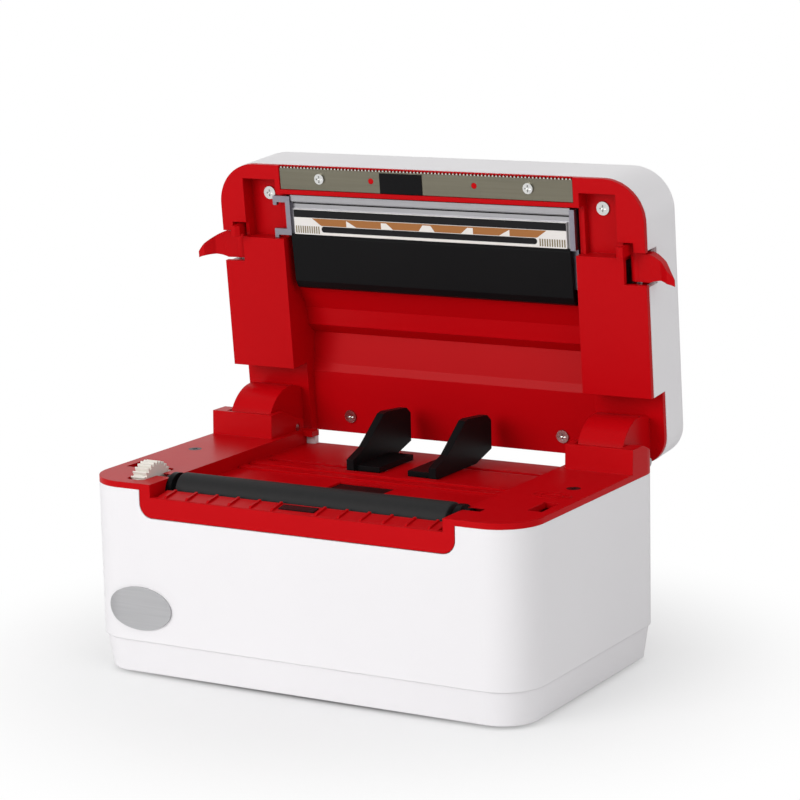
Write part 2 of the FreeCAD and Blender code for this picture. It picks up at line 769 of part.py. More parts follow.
half_tooth_step = math.pi * guide_module / 2
paper_guide_right = paper_guide(half_tooth_step)
paper_guide_left = paper_guide(0).rotated(Vector(0, guide_pinion_y, 0), Z, 180)
left_fence = profile_x(
    fence_profile, -guide_rest_x - guide_thickness / 2, -guide_rest_x + guide_thickness / 2,
)
left_foot = box(
    -guide_rest_x, -guide_foot_inner_x, guide_front_y + 2.0, guide_rear_y - 16.0, z_guide,
    z_guide + guide_foot_height,
)
left_under = paper_guide_left.common(box(-half_width, half_width, -half_depth, half_depth, 0, z_guide))
paper_guide_left = fuse(left_fence, left_foot, left_under)
guide_pinion = involute_gear(
    guide_teeth, guide_module, guide_gear_height, pinion_stud_radius + bore_gap,
    -90 + 180 / guide_teeth, tooth_play,
)
guide_pinion = guide_pinion.translated(Vector(0, guide_pinion_y, z_rack))

# Label gap sensor under its window, main board, ports and power switch
gap_sensor = box(
    -sensor_half_width + seat_gap, sensor_half_width - seat_gap, sensor_front_y + seat_gap,
    sensor_rear_y - seat_gap, z_tray - 4.0, z_tray - 0.6,
)
sensor_lens = rod(Z, Vector(0, (sensor_front_y + sensor_rear_y) / 2, z_tray - 0.6), 1.6, 0.4)
gap_sensor = fuse(gap_sensor, sensor_lens)
main_board = box(board_x0, board_x1, board_y0, board_y1, board_z, z_port)
usb_port = box(
    usb_x - usb_width / 2, usb_x + usb_width / 2, port_face - usb_depth, port_face, z_port,
    z_port + usb_height,
)
usb_mouth = 1.0
usb_port = usb_port.cut(
    box(
        usb_x - usb_width / 2 + usb_mouth, usb_x + usb_width / 2 - usb_mouth, port_face - usb_depth / 2,
        port_face, z_port + usb_mouth, z_port + usb_height - usb_mouth,
    ),
)
usb_tongue = box(
    usb_x - usb_width / 4, usb_x + usb_width / 4, port_face - usb_depth / 2, port_face - 1.5,
    z_port + usb_height / 3, z_port + usb_height * 2 / 3,
)
usb_port = fuse(usb_port, usb_tongue)
inlet_axis = z_port + inlet_height / 2
dc_inlet = box(
    inlet_x - inlet_width / 2, inlet_x + inlet_width / 2, port_face - inlet_depth, port_face, z_port,
    z_port + inlet_height,
)
dc_inlet = dc_inlet.cut(
    rod(
        Y, Vector(inlet_x, port_face - inlet_depth + wall, inlet_axis), inlet_barrel_radius,
        inlet_depth,
    ),
)
dc_inlet = fuse(
    dc_inlet,
    rod(Y, Vector(inlet_x, port_face - inlet_depth, inlet_axis), inlet_pin_radius, inlet_depth - 1.5),
)

bezel = 1.2
bezel_sheet = 1.0
switch_lower = switch_z - switch_height / 2
switch_upper = switch_z + switch_height / 2
switch_housing = fuse(
    box(
        switch_x - switch_width / 2, switch_x + switch_width / 2, half_depth - switch_depth, half_depth,
        switch_lower, switch_upper,
    ),
    box(
        switch_x - switch_width / 2 - bezel, switch_x + switch_width / 2 + bezel, half_depth,
        half_depth + bezel_sheet, switch_lower - bezel, switch_upper + bezel,
    ),
)
rocker_half_width = switch_width / 2 - 1.6
rocker_half_height = switch_height / 2 - 1.6
rocker_axis_y = half_depth - 2.0
rocker_pin_radius = 0.9
rocker_room = 0.6
switch_housing = switch_housing.cut(
    box(
        switch_x - rocker_half_width - slide_gap, switch_x + rocker_half_width + slide_gap,
        half_depth - 7.5, half_depth + bezel_sheet, switch_z - rocker_half_height - rocker_room,
        switch_z + rocker_half_height + rocker_room,
    ),
)
rocker_bore = rod(
    X, Vector(switch_x - rocker_half_width - 1.2, rocker_axis_y, switch_z),
    rocker_pin_radius + bore_gap, 2 * rocker_half_width + 2.4,
)
switch_housing = switch_housing.cut(rocker_bore)
rocker_profile = [
    (rocker_axis_y - 2.2, switch_z - 2.4), (rocker_axis_y, switch_z - rocker_half_height),
    (half_depth + 0.6, switch_z - rocker_half_height), (half_depth + 0.2, switch_z),
    (half_depth + 2.2, switch_z + rocker_half_height), (rocker_axis_y, switch_z + rocker_half_height),
    (rocker_axis_y - 2.2, switch_z + 2.4),
]
power_rocker = profile_x(rocker_profile, switch_x - rocker_half_width, switch_x + rocker_half_width)
power_rocker = fuse(
    power_rocker,
    rod(
        X, Vector(switch_x - rocker_half_width - 1.0, rocker_axis_y, switch_z), rocker_pin_radius,
        2 * rocker_half_width + 2.0,
    ),
)

# Bare oval badge that follows the rounded front corner
badge_x = 24.0 - half_width
badge_z = 26.5
badge_half_width = 13.6
badge_half_height = 8.0
badge_sheet = 0.8
badge_oval = Part.Ellipse(Vector(0, 0, 0), badge_half_width, badge_half_height).toShape()
badge_oval = Part.Face(Part.Wire([badge_oval])).extrude(Z * half_depth)
badge_oval = badge_oval.rotated(Vector(0, 0, 0), X, 90).translated(
    Vector(badge_x, -half_depth / 2, badge_z),
)
badge_ring = outline_prism(-badge_sheet, 0, z_case_top).cut(outline_prism(0, 0, z_case_top))
badge = badge_ring.common(badge_oval)

# Lid's white cover: rounded shell above the red frame's flange
cover_foot = z_rim + flange
cover_outer = outline_prism(0, cover_foot, z_lid_top)
top_edges = [e for e in cover_outer.Edges if e.CenterOfMass.z > z_lid_top - seat_gap]
cover_outer = cover_outer.makeFillet(lid_edge_radius, top_edges)
cover_inner = outline_prism(wall, cover_foot, z_lid_top - wall)
inner_edges = [e for e in cover_inner.Edges if e.CenterOfMass.z > z_lid_top - wall - seat_gap]
cover_inner = cover_inner.makeFillet(lid_edge_radius - wall, inner_edges)
lid_cover = cover_outer.cut(cover_inner)
z_notch_top = z_notch + roof_sheet
tub_outer = tub_half_width + roof_sheet
lid_cover = lid_cover.cut(box(-big, big, notch_front_y, big, 0, z_notch_top))
lid_cover = lid_cover.cut(box(-tub_outer, tub_outer, notch_front_y, big, 0, z_rear_roof + roof_sheet))
z_pocket = z_rim + pocket_depth
z_pocket_top = z_pocket + pocket_sheet
lid_posts = [
    (boss_x, boss_y, z_pocket_top), (-boss_x, boss_y, z_pocket_top),
    (rear_boss_x, rear_boss_y, z_rear_roof + roof_sheet),
    (-rear_boss_x, rear_boss_y, z_rear_roof + roof_sheet),
]
cover_ceiling = z_lid_top - wall
for px, py, foot_z in lid_posts:
    lid_cover = lid_cover.fuse(
        rod(Z, Vector(px, py, foot_z), post_radius, cover_ceiling + seat_gap - foot_z),
    )
    lid_cover = lid_cover.cut(rod(Z, Vector(px, py, foot_z), screw_radius + bore_gap, screw_length))
paddle_front_y = latch_front_y + latch_hook_width - 0.5
paddle_gap = 1.4
z_paddle_top = z_rim + latch_rise + latch_hub_radius + 1.0
for side in (1, -1):
    x0 = side * (latch_x - 1.0)
    x1 = side * (half_width + wall)
    lid_cover = lid_cover.cut(
        box(
            min(x0, x1), max(x0, x1), paddle_front_y - paddle_gap, latch_rear_y + paddle_gap, 0,
            z_paddle_top,
        ),
    )
lid_cover = lid_cover.cut(
    rod(Z, Vector(button_x, button_y, cover_ceiling - wall), button_radius + slide_gap, 3 * wall),
)
pipe_offset = 14.0
pipe_x = button_x + pipe_offset
lid_cover = lid_cover.cut(
    rod(Z, Vector(pipe_x, button_y, cover_ceiling - wall), pipe_radius + bore_gap, 3 * wall),
)
lid_cover = lid_cover.removeSplitter()

# Lid's red inner frame: flange, pockets, tub over the print head, stepped roof, knuckles
rim_inset = 0.15
tear_rear_y = -half_depth + 0.4 + tear_width
lid_frame = outline_prism(rim_inset, z_rim, cover_foot).cut(box(-big, big, notch_front_y, big, 0, big))
lid_frame = lid_frame.cut(box(-tub_half_width, tub_half_width, tear_rear_y + roof_sheet, big, 0, big))
tear_recess = 0.3
z_tear = z_rim + tear_recess + tear_thickness
lid_frame = lid_frame.cut(
    box(
        -tear_half_length - seat_gap, tear_half_length + seat_gap, -half_depth - wall,
        tear_rear_y + seat_gap, 0, z_tear,
    ),
)
notch_plate = outline_prism(rim_inset, z_notch, z_notch_top)
notch_plate = notch_plate.cut(box(-big, big, -big, notch_front_y, 0, big)).cut(
    box(-tub_half_width, tub_half_width, -big, big, 0, big),
)
notch_wall = fuse(
    outline_prism(rim_inset, z_rim, cover_foot), outline_prism(wall + seat_gap, z_rim, z_notch_top),
)
notch_wall = notch_wall.common(
    box(tub_half_width, big, notch_front_y - roof_sheet, notch_front_y, 0, big),
)
tub_front = tear_rear_y + roof_sheet
side_profile = [
    (tear_rear_y, z_rim + flange / 2), (notch_front_y, z_rim), (notch_front_y, z_notch),
    (half_depth - rim_inset, z_notch), (half_depth - rim_inset, z_rear_roof + roof_sheet),
    (notch_front_y + 4.0, z_rear_roof + roof_sheet), (notch_front_y, z_head_roof + 2 * roof_sheet),
    (tear_rear_y, z_head_roof + roof_sheet),
]
tub_side = profile_x(side_profile, tub_half_width, tub_outer)
tub_front_wall = box(
    -tub_outer, tub_outer, tear_rear_y, tub_front, z_rim + flange / 2, z_head_roof + roof_sheet,
)
brow_y = head_rear_y + 9.8
brow_rise = 12.0
ridge_rise = 17.0
roof_line = [
    (tear_rear_y, z_head_roof),
    (head_rear_y - 3.0, z_head_roof),
    (head_rear_y + 1.2, z_rim + 8.0),
    (brow_y, z_rim + brow_rise),
    (brow_y + 7.0, z_rim + brow_rise + 0.5),
    (brow_y + 11.0, z_rim + ridge_rise),
    (notch_front_y + 1.0, z_rim + ridge_rise - 2.4),
    (notch_front_y + 4.0, z_rear_roof),
    (half_depth - rim_inset, z_rear_roof),
]
roof_back = [(y, z + roof_sheet) for y, z in roof_line]
lid_roof = profile_x(roof_line + roof_back[::-1], -tub_outer, tub_outer)
pocket_tub = box(
    pocket_inner_x - pocket_sheet, pocket_outer_x + pocket_sheet, pocket_front_y - pocket_sheet,
    pocket_rear_y + pocket_sheet, z_rim + flange / 2, z_pocket_top,
)
pocket_hole = box(pocket_inner_x, pocket_outer_x, pocket_front_y, pocket_rear_y, 0, z_pocket)
lid_frame = fuse(
    lid_frame, tub_front_wall, lid_roof, *both_sides(notch_plate), *both_sides(notch_wall),
    *both_sides(tub_side),
)
for shape in both_sides(pocket_tub):
    lid_frame = lid_frame.fuse(shape)
for shape in both_sides(pocket_hole):
    lid_frame = lid_frame.cut(shape)
hanger_gate = box(
    tub_half_width - wall, pocket_inner_x + wall, head_front_y - 0.8, ceramic_rear_y + 2.0, 0,
    z_rim + 3.9,
)
for shape in both_sides(hanger_gate):
    lid_frame = lid_frame.cut(shape)

# Knuckles: rounded barrels that swing in the towers, with cheeks and hubs on the hinge pins
barrel = sector(knuckle_radius, knuckle_start, knuckle_end, knuckle_inner_x, knuckle_outer_x)
barrel = barrel.cut(
    sector(
        knuckle_radius - knuckle_wall, 0, 360 - 1, knuckle_inner_x + knuckle_wall,
        knuckle_outer_x - knuckle_wall,
    ),
)
hub = rod(X, Vector(knuckle_inner_x, hinge_y, z_hinge), hub_radius, knuckle_outer_x - knuckle_inner_x)
knuckle_neck = box(
    knuckle_inner_x, knuckle_outer_x, hinge_y - knuckle_radius + 4.2, hinge_y - 2.0, z_notch - 1.0,
    z_notch_top,
)
knuckle = fuse(barrel, hub, knuckle_neck)
knuckle = knuckle.cut(rod(X, Vector(0, hinge_y, z_hinge), hinge_pin_radius + bore_gap, big))
inside_lid = outline_prism(wall + seat_gap, 0, z_lid_top)
for shape in both_sides(knuckle.common(inside_lid)):
    lid_frame = lid_frame.fuse(shape)

# Latch openings, ears for the latch pins, tear-bar pins and screw seats
z_latch = z_rim + latch_rise
latch_rear_ear = latch_rear_y + paddle_gap
latch_front_ear = latch_front_y - slide_gap
ear_sheet = 1.8
hook_gap = 0.7
hook_window = box(
    latch_x - 5.7, latch_x + hook_gap, latch_front_y - hook_gap,
    latch_front_y + latch_hook_width + hook_gap, 0, cover_foot,
)
paddle_window = box(
    latch_x - latch_hub_radius - hook_gap, big, paddle_front_y - hook_gap, latch_rear_y + hook_gap, 0,
    cover_foot,
)
ear_half = 2.9
ear_front = box(
    latch_x - ear_half, latch_x + ear_half, latch_front_ear - ear_sheet, latch_front_ear,
    z_rim + flange / 2, z_latch + ear_half,
)
ear_rear = box(
    latch_x - ear_half, latch_x + ear_half, latch_rear_ear, latch_rear_ear + ear_sheet,
    z_rim + flange / 2, z_latch + ear_half,
)
latch_bore = rod(
    Y, Vector(latch_x, latch_front_ear - 2 * ear_sheet, z_latch), latch_pin_radius + bore_gap,
    half_depth,
)
for shape in both_sides(ear_front) + both_sides(ear_rear):
    lid_frame = lid_frame.fuse(shape)
for shape in both_sides(hook_window) + both_sides(paddle_window) + both_sides(latch_bore):
    lid_frame = lid_frame.cut(shape)
tear_mid_y = tear_rear_y - tear_width / 2
for side in (1, -1):
    pin = rod(
        Z, Vector(side * tear_pin_x, tear_mid_y, z_rim + tear_recess), tear_pin_radius, tear_thickness,
    )
    lid_frame = lid_frame.fuse(pin)
    lid_frame = lid_frame.cut(
        rod(Z, Vector(side * tear_screw_x, tear_mid_y, z_rim), screw_radius + bore_gap, screw_length),
    )
lid_screws = []
for px, py, foot_z in lid_posts:
    sheet = pocket_sheet if foot_z == z_pocket_top else roof_sheet
    seat = Vector(px, py, foot_z - sheet)
    lid_frame = lid_frame.cut(rod(Z, seat, screw_radius + bore_gap, sheet))
    lid_screws.append(screw(seat + Z * (0.6 - screw_head), Z, screw_length))
    lid_frame = lid_frame.cut(rod(Z, seat, screw_head_radius + bore_gap, 0.6))
board_post_rise = 6.0
board_post_radius = 2.5
board_margin = 3.0
board_half_depth = 10.0
board_post_y = board_half_depth - board_margin
button_board_z = z_head_roof + roof_sheet + board_post_rise
button_posts = [(button_x - board_margin, button_y - board_post_y), (pipe_x, button_y + board_post_y)]
for px, py in button_posts:
    lid_frame = lid_frame.fuse(
        rod(
            Z, Vector(px, py, z_head_roof + roof_sheet / 2), board_post_radius,
            board_post_rise + roof_sheet / 2,
        ),
    )
lid_frame = lid_frame.removeSplitter()

# Tear bar with its screws and the dark sensor patch
tear_foot = z_rim + tear_recess
tear_front_y = tear_rear_y - tear_width
tooth_count = round(2 * tear_half_length / tear_tooth_pitch)
tooth_step = 2 * tear_half_length / tooth_count
tear_edge = [
    Vector(tear_half_length, tear_rear_y, tear_foot), Vector(-tear_half_length, tear_rear_y, tear_foot),
]
for index in range(tooth_count):
    root_x = -tear_half_length + index * tooth_step
    tear_edge.append(Vector(root_x, tear_front_y + tear_tooth_depth, tear_foot))
    tear_edge.append(Vector(root_x + tooth_step / 2, tear_front_y, tear_foot))
tear_edge.append(Vector(tear_half_length, tear_front_y + tear_tooth_depth, tear_foot))
tear_bar = Part.Face(Part.makePolygon(tear_edge + tear_edge[:1])).extrude(Z * tear_thickness)
tear_screws = []
for side in (1, -1):
    tear_bar = tear_bar.cut(
        rod(Z, Vector(side * tear_pin_x, tear_mid_y, z_rim), tear_pin_radius + bore_gap, flange),
    )
    place = Vector(side * tear_screw_x, tear_mid_y, z_rim + tear_recess)
    tear_bar = tear_bar.cut(rod(Z, place, screw_radius + bore_gap, flange))
    head_top = place - Z * tear_screw_head
    tear_screw = fuse(
        rod(Z, head_top, tear_screw_head_radius, tear_screw_head),
        rod(Z, place, screw_radius, flange + tear_thickness),
    )
    tear_screws.append(tear_screw.cut(cross_recess(head_top, Z)))
pad_x0 = -18.0
pad_x1 = 0.0
sensor_pad = box(
    pad_x0, pad_x1, tear_rear_y - tear_width + 1.2, tear_rear_y, z_rim, z_rim + tear_recess,
)

# Print head: aluminium body, ceramic with its heating line, driver cover, hangers and leaf springs
z_ceramic = z_platen + platen_radius + head_clear
z_rail = z_ceramic + 0.5
z_sink = z_ceramic + ceramic_thickness
z_sink_top = z_sink + heatsink_height
cover_top = z_sink + 3.2
sink_profile = [
    (head_front_y, z_rail), (head_front_y + 2.4, z_rail), (head_front_y + 2.8, z_rail + 1.0),
    (ceramic_front_y - 0.2, z_rail + 1.0), (ceramic_front_y - 0.2, z_sink),
    (ceramic_rear_y + 0.1, z_sink), (ceramic_rear_y + 0.1, cover_top), (head_rear_y - 2.0, cover_top),
    (head_rear_y - 4.5, z_sink_top), (head_front_y, z_sink_top),
]
head_heatsink = profile_x(sink_profile, -head_half_length, head_half_length)
head_ceramic = box(
    -ceramic_half_length, ceramic_half_length, ceramic_front_y, ceramic_rear_y, z_ceramic, z_sink,
)
cover_front = ceramic_rear_y + 0.1
cover_profile = [
    (cover_front, cover_top), (cover_front, z_ceramic + 0.3), (cover_front + 1.0, z_ceramic - 0.4),
    (head_rear_y - 3.2, z_ceramic + 0.3), (head_rear_y - 0.6, z_ceramic + 1.6),
    (head_rear_y, z_ceramic + 2.6), (head_rear_y, cover_top),
]
head_cover = profile_x(cover_profile, -head_half_length, head_half_length)
hanger = box(
    head_half_length, head_half_length + hanger_thickness, head_front_y + 0.4, ceramic_rear_y + 0.6,
    z_ceramic - 0.2, z_sink_top,
)
arm_sheet = 1.6
arm_width = 2.4
arm_low = z_ceramic - 0.2
hanger_left = hanger
for arm_y in (head_front_y + 0.4, ceramic_rear_y + 0.6 - arm_width):
    arm = box(
        head_half_length, head_half_length + hanger_thickness + hanger_reach, arm_y, arm_y + arm_width,
        arm_low, arm_low + arm_sheet,
    )
    tip_x = head_half_length + hanger_thickness + hanger_reach
    tip = box(tip_x - 1.6, tip_x, arm_y, arm_y + arm_width + 1.2, arm_low, arm_low + arm_sheet)
    hanger_left = fuse(hanger_left, arm, tip)
head_hanger_left = hanger_left.mirror(Vector(0, 0, 0), X)
head_hanger_right = fuse(
    hanger,
    box(
        head_half_length, head_half_length + hanger_thickness, ceramic_rear_y, head_rear_y - 6.0,
        cover_top - 2.0, z_sink_top,
    ),
)
spring_sheet = 0.5
spring_half_span = 14.0
spring_width = 8.0
spring_y = (head_front_y + head_rear_y) / 2 - 2.0
spring_middle = 30.0
spring_flat = 3.0
spring_gap = 0.1
z_crown = z_sink_top + head_travel + spring_gap
springs = []
for side in (1, -1):
    middle = side * spring_middle
    left = middle - spring_half_span
    right = middle + spring_half_span
    crown = [
        Vector(left, spring_y, z_head_roof),
        Vector(left, spring_y, z_head_roof - spring_sheet),
        Vector(middle - spring_flat, spring_y, z_crown),
        Vector(middle + spring_flat, spring_y, z_crown),
        Vector(right, spring_y, z_head_roof - spring_sheet),
        Vector(right, spring_y, z_head_roof),
        Vector(middle + spring_flat, spring_y, z_crown + spring_sheet),
        Vector(middle - spring_flat, spring_y, z_crown + spring_sheet),
    ]
    springs.append(Part.Face(Part.makePolygon(crown + crown[:1])).extrude(Y * spring_width))

# Side latches: paddle outside, hook inside, on a pin along Y
z_hook = z_case_top - slide_gap
latch_hub = rod(
    Y, Vector(latch_x, latch_front_y, z_latch), latch_hub_radius, latch_rear_y - latch_front_y,
)
hook_x0 = latch_x - latch_hub_radius - 0.2
hook_profile = [
    (latch_x, z_latch - 1.0), (hook_x0 + latch_hook, z_latch - 3.2),
    (hook_x0 + latch_hook, z_hook - 1.6), (hook_x0, z_hook - 1.6), (hook_x0 - latch_barb, z_hook - 0.5),
    (hook_x0 - latch_barb, z_hook), (hook_x0, z_hook), (hook_x0, z_latch - 1.0),
    (hook_x0 + 1.2, z_latch + 1.4), (latch_x, z_latch + 2.0),
]
hook = profile_y(hook_profile, latch_front_y, latch_front_y + latch_hook_width)
paddle_profile = [
    (latch_x, z_latch - 2.4), (half_width + 1.0, z_rim + 2.2), (half_width + 5.0, z_rim + 1.4),
    (latch_tip_x - 3.0, z_rim - 1.6), (latch_tip_x, z_rim - 1.2), (latch_tip_x - 2.4, z_rim + 0.8),
    (half_width + 6.0, z_rim + 4.2), (half_width + 2.0, z_rim + 6.4), (latch_x, z_latch + 2.4),
]
paddle = profile_y(paddle_profile, paddle_front_y, latch_rear_y)
paddle_plan = Part.Wire(
    [
        Part.makeLine(Vector(latch_x, latch_rear_y, 0), Vector(latch_x, paddle_front_y, 0)),
        Part.makeLine(Vector(latch_x, paddle_front_y, 0), Vector(half_width, paddle_front_y, 0)),
        Part.Arc(
            Vector(half_width, paddle_front_y, 0),
            Vector(half_width + paddle_bow, paddle_front_y + paddle_bow / 2, 0),
            Vector(latch_tip_x, latch_rear_y - paddle_tip, 0),
        ).toShape(),
        Part.makeLine(
            Vector(latch_tip_x, latch_rear_y - paddle_tip, 0), Vector(latch_tip_x, latch_rear_y, 0),
        ),
        Part.Arc(
            Vector(latch_tip_x, latch_rear_y, 0),
            Vector(half_width + paddle_bow, latch_rear_y - paddle_tip / 2, 0),
            Vector(half_width, latch_rear_y, 0),
        ).toShape(),
        Part.makeLine(Vector(half_width, latch_rear_y, 0), Vector(latch_x, latch_rear_y, 0)),
    ],
)
paddle = paddle.common(Part.Face(paddle_plan).extrude(Z * z_lid_top))
latch_right = fuse(latch_hub, hook, paddle).cut(
    rod(Y, Vector(latch_x, latch_front_y - wall, z_latch), latch_pin_radius + bore_gap, half_depth),
)
latch_left = latch_right.mirror(Vector(0, 0, 0), X)
latch_pin = rod(
    Y, Vector(latch_x, latch_front_ear - ear_sheet, z_latch), latch_pin_radius,
    latch_rear_ear + 2 * ear_sheet - latch_front_ear,
)
latch_pins = both_sides(latch_pin)

# Feed button, its board and the status light pipe
button_flange = 1.5
button_flange_radius = button_radius + 1.5
z_button_flange = cover_ceiling - button_flange - 0.2
switch_top = z_button_flange - button_travel - slide_gap
feed_button = fuse(
    rod(
        Z, Vector(button_x, button_y, z_button_flange), button_radius,
        z_lid_top + button_rise - z_button_flange,
    ),
    rod(Z, Vector(button_x, button_y, z_button_flange), button_flange_radius, button_flange),
)
crown_edges = [e for e in feed_button.Edges if e.CenterOfMass.z > z_lid_top + button_rise / 2 and e.Closed]
feed_button = feed_button.makeFillet(0.6, crown_edges)
board_top = button_board_z + board_sheet
board_left = button_x - button_radius - board_margin
board_right = pipe_x + pipe_radius + board_margin
switch_half = 3.0
button_board = box(
    board_left, board_right, button_y - board_half_depth, button_y + board_half_depth, button_board_z,
    board_top,
)
button_board = fuse(
    button_board,
    box(
        button_x - switch_half, button_x + switch_half, button_y - switch_half, button_y + switch_half,
        board_top, switch_top,
    ),
)
light_pipe = rod(Z, Vector(pipe_x, button_y, board_top), pipe_radius, z_lid_top - board_top)

fixed = {
    "lower_case": lower_case,
    "base_plate": base_plate,
    "rubber_feet": rubber_feet,
    "base_screws": Part.makeCompound(base_screws),
    "deck_frame": deck_frame,
    "deck_screws": Part.makeCompound(deck_screws),
    "hinge_pins": Part.makeCompound(hinge_pins),
    "platen_bushes": platen_bushes,
    "platen_shaft": platen_shaft,
    "platen_rubber": platen_rubber,
    "platen_gear": platen_gear,
    "idler_gear": idler_gear,
    "idler_stud": idler_stud,
    "drive_motor": drive_motor,
    "motor_shaft": motor_shaft,
    "motor_pinion": motor_pinion,
    "motor_bracket": motor_bracket,
    "motor_screws": Part.makeCompound(motor_screws),
    "paper_guide_left": paper_guide_left,
    "paper_guide_right": paper_guide_right,
    "guide_pinion": guide_pinion,
    "gap_sensor": gap_sensor,
    "main_board": main_board,
    "usb_port": usb_port,
    "dc_inlet": dc_inlet,
    "switch_housing": switch_housing,
    "power_rocker": power_rocker,
    "badge": badge,
}
on_lid = {
    "lid_cover": lid_cover,
    "lid_frame": lid_frame,
    "lid_screws": Part.makeCompound(lid_screws),
    "tear_bar": tear_bar,
    "tear_bar_screws": Part.makeCompound(tear_screws),
    "sensor_pad": sensor_pad,
    "head_heatsink": head_heatsink,
    "head_ceramic": head_ceramic,
    "head_cover": head_cover,
    "head_hanger_left": head_hanger_left,
    "head_hanger_right": head_hanger_right,
    "head_springs": Part.makeCompound(springs),
    "latch_left": latch_left,
    "latch_right": latch_right,
    "latch_pins": Part.makeCompound(latch_pins),
    "feed_button": feed_button,
    "button_board": button_board,
    "light_pipe": light_pipe,
}
os.makedirs("parts", exist_ok=True)
for name, shape in fixed.items():
    shape.exportStep("parts/" + name + ".step")
for name, shape in on_lid.items():
    opened(shape).exportStep("parts/" + name + ".step")
for name, shape in {**fixed, **on_lid}.items():
    print(name, len(shape.Solids), shape.isValid(), round(shape.Volume, 1))
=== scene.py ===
import json
import math

import bmesh
import bpy
from mathutils import Matrix, Vector


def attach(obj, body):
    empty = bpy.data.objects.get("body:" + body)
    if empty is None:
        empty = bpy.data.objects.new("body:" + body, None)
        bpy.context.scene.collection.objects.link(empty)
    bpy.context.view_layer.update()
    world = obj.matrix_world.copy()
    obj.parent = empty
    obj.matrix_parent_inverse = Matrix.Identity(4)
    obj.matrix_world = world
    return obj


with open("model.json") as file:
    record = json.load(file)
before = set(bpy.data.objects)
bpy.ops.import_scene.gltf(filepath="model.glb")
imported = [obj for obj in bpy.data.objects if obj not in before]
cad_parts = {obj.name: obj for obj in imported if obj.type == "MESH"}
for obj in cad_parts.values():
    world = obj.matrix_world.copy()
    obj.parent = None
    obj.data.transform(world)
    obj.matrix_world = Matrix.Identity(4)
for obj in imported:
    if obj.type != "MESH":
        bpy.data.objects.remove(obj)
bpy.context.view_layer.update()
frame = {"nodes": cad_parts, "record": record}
mm = 0.001
nodes = frame["nodes"]
print("frame loaded:", len(nodes), "nodes")

# the lid is drawn open; everything on it is placed as if shut, then turned up
hinge = next(j for j in frame["record"]["behaviour"]["joints"] if j["name"] == "lid_hinge")
openAngle = math.radians(hinge["range_deg"][1])
hingePoint = Vector(hinge["pos_m"])
lidLift = Matrix.Rotation(-openAngle, 4, "X")
lidTurn = Matrix.Translation(hingePoint) @ lidLift @ Matrix.Translation(-hingePoint)


def shutBox(node):
    back = lidTurn.inverted()
    points = [back @ v.co for v in nodes[node].data.vertices]
    low = Vector([min(p[i] for p in points) for i in range(3)])
    high = Vector([max(p[i] for p in points) for i in range(3)])
    return low, high


# shader maths: a socket with operators
class Sock:
    def __init__(self, tree, socket):
        self.tree = tree
        self.socket = socket

    def make(self, kind, settings=None, values=None, out=0):
        node = self.tree.nodes.new(kind)
        for key, value in (settings or {}).items():
            setattr(node, key, value)
        for key, value in (values or {}).items():
            if isinstance(value, Sock):
                self.tree.links.new(value.socket, node.inputs[key])
            else:
                node.inputs[key].default_value = value
        return Sock(self.tree, node.outputs[out])

    def maths(self, operation, first, second):
        return self.make("ShaderNodeMath", {"operation": operation}, {0: first, 1: second})

    def noise(self, vector, **values):
        return self.make("ShaderNodeTexNoise", None, {"Vector": vector, **values})

    def bump(self, height, strength, **values):
        values = {"Height": height, "Strength": strength, "Distance": bumpReach, **values}
        return self.make("ShaderNodeBump", None, values)

    def __add__(self, other):
        return self.maths("ADD", self, other)

    def __mul__(self, other):
        return self.maths("MULTIPLY", self, other)

    __radd__ = __add__
    __rmul__ = __mul__


bumpReach = 0.0002


def startMaterial(name):
    material = bpy.data.materials.new(name)
    material.use_nodes = True
    tree = material.node_tree
    shader = tree.nodes["Principled BSDF"]
    place = tree.nodes.new("ShaderNodeTexCoord").outputs["Object"]
    return material, shader, Sock(tree, place)


def feed(shader, name, sock):
    sock.tree.links.new(sock.socket, shader.inputs[name])


def setAll(shader, values):
    for key, value in values.items():
        shader.inputs[key].default_value = value


def mixColours(sock, factor, first, second):
    settings = {"data_type": "RGBA"}
    values = {0: factor, 6: (*first, 1.0), 7: (*second, 1.0)}
    return sock.make("ShaderNodeMix", settings, values, out=2)


# roughness that swings about its middle value
def swing(sock, middle, spread):
    return sock * spread + (middle - spread / 2)


# moulded plastic: fine spark-eroded grain, faint handling smudges, softened edges
plasticLook = {
    "white_plastic": {"colour": (0.83, 0.815, 0.83), "smudge": (0.80, 0.785, 0.80), "rough": 0.36,
                      "grain": 0.09, "grainScale": 2600.0, "edge": 0.45, "sheen": 0.28},
    "red_plastic": {"colour": (0.52, 0.0015, 0.0045), "smudge": (0.47, 0.0012, 0.0038), "rough": 0.32,
                    "grain": 0.05, "grainScale": 2400.0, "edge": 0.3, "sheen": 0.07},
    "black_plastic": {"colour": (0.0045, 0.0045, 0.005), "smudge": (0.007, 0.007, 0.0075), "rough": 0.38,
                      "grain": 0.10, "grainScale": 2000.0, "edge": 0.25, "sheen": 0.08},
    "gear_plastic": {"colour": (0.80, 0.77, 0.71), "smudge": (0.77, 0.74, 0.68), "rough": 0.45,
                     "grain": 0.04, "grainScale": 2400.0, "edge": 0.08, "sheen": 0.5},
    "ceramic": {"colour": (0.78, 0.77, 0.74), "smudge": (0.75, 0.74, 0.71), "rough": 0.22,
                "grain": 0.02, "grainScale": 3000.0, "edge": 0.05, "sheen": 0.6},
}
plasticShared = {"ior": 1.47, "smudgeScale": 22.0, "smudgeDetail": 3.0, "smudgeRough": 0.55,
                 "grainDetail": 1.0, "roughSpread": 0.10, "edgeSamples": 4}


